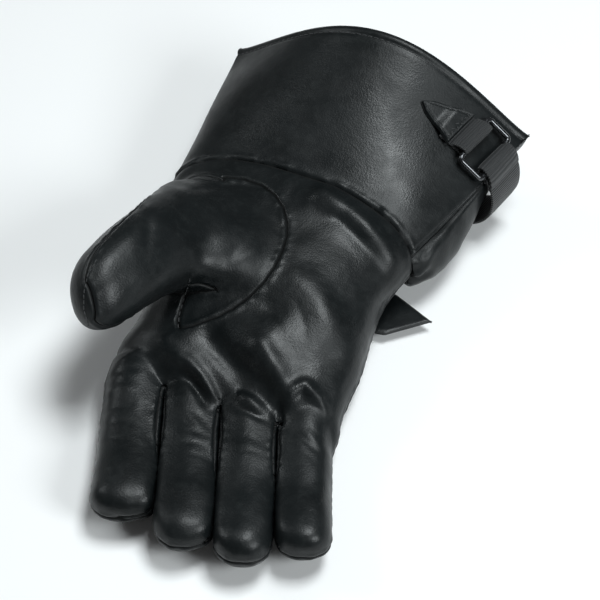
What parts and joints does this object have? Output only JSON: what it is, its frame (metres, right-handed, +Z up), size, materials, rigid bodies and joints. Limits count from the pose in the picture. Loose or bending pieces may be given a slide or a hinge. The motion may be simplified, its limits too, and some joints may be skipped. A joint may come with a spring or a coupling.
{
  "type": "gauntlet glove",
  "caption": "Right-hand leather gauntlet glove lying on its back, palm up: four fingers, a set-in thumb, a flared cuff with a side gusset, and a buckled webbing strap.",
  "frame": {"origin": "middle of the bounding box's footprint, on the surface that the glove lies on", "axes": "+X from the thumb side to the little-finger side, +Y from the fingertips to the cuff's rim, +Z up out of the palm"},
  "size_m": [0.187, 0.2936, 0.0915],
  "materials": {
    "glove_leather": "soft satin",
    "strap_webbing": "matt woven",
    "buckle_metal": "glossy black"
  },
  "bodies": {
    "root": {"palm_panel": "glove_leather", "back_panel": "glove_leather", "fourchette_index_middle": "glove_leather", "fourchette_middle_ring": "glove_leather", "fourchette_ring_little": "glove_leather", "thumb_front": "glove_leather", "thumb_back": "glove_leather", "cuff_palm_panel": "glove_leather", "cuff_back_panel": "glove_leather", "cuff_gusset": "glove_leather", "strap_tab": "glove_leather", "buckle_loop": "strap_webbing", "slide_buckle": "buckle_metal", "cuff_strap": "strap_webbing", "wrist_strap": "glove_leather"}
  },
  "joints": []
}
